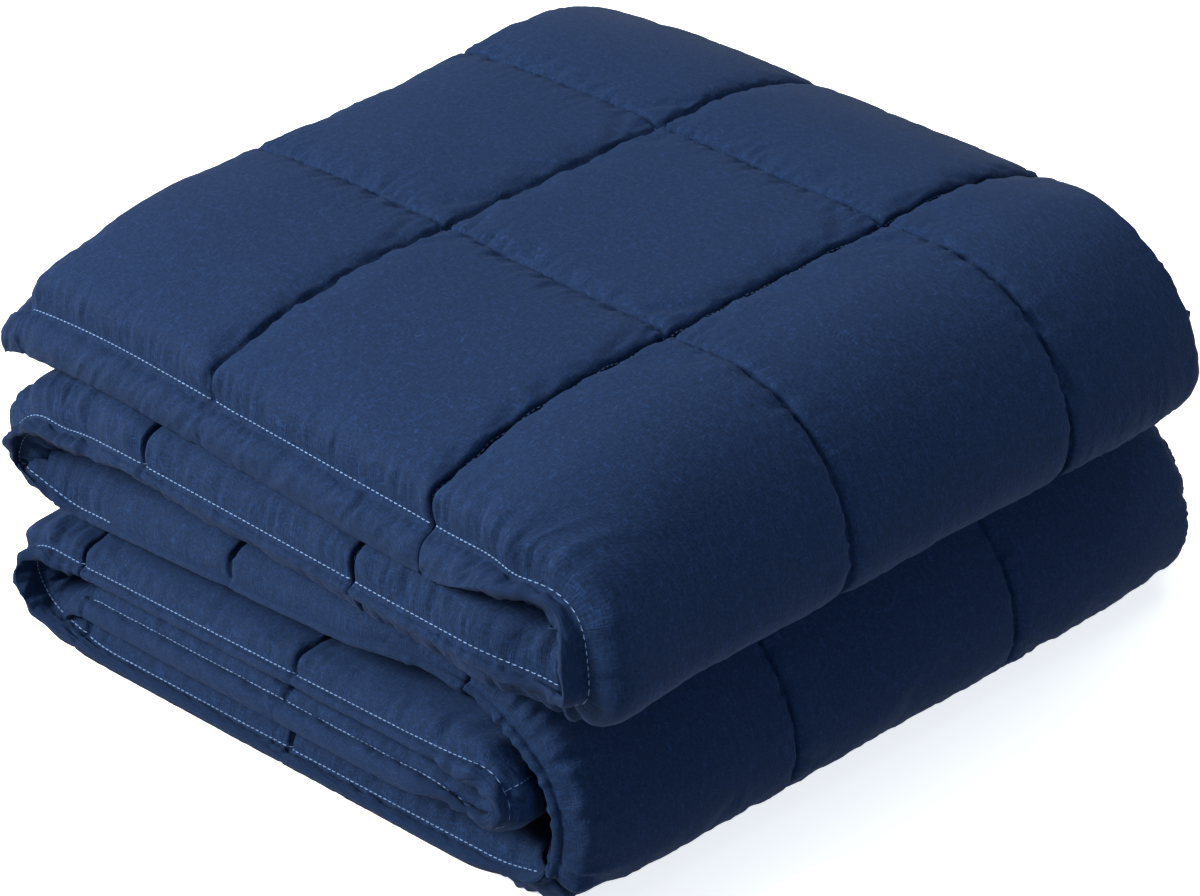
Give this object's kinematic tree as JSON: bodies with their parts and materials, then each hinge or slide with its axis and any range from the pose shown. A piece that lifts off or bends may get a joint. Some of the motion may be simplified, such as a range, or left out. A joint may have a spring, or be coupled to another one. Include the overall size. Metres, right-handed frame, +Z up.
{
  "type": "folded weighted blanket",
  "caption": "Square-quilted weighted blanket of filled navy cloth, folded back and forth into a block with rounded folds, drawn-in seams and a stitched hem.",
  "frame": {"origin": "on the floor under the middle of the folded block's outer box", "axes": "+X towards the two front folds, +Y across the cloth from the near side hems to the far ones, +Z up; the block stands on its base layer"},
  "size_m": [0.3906, 0.389, 0.1767],
  "materials": {
    "navy_cotton": "matt"
  },
  "bodies": {
    "root": {"blanket": "navy_cotton"}
  },
  "joints": []
}
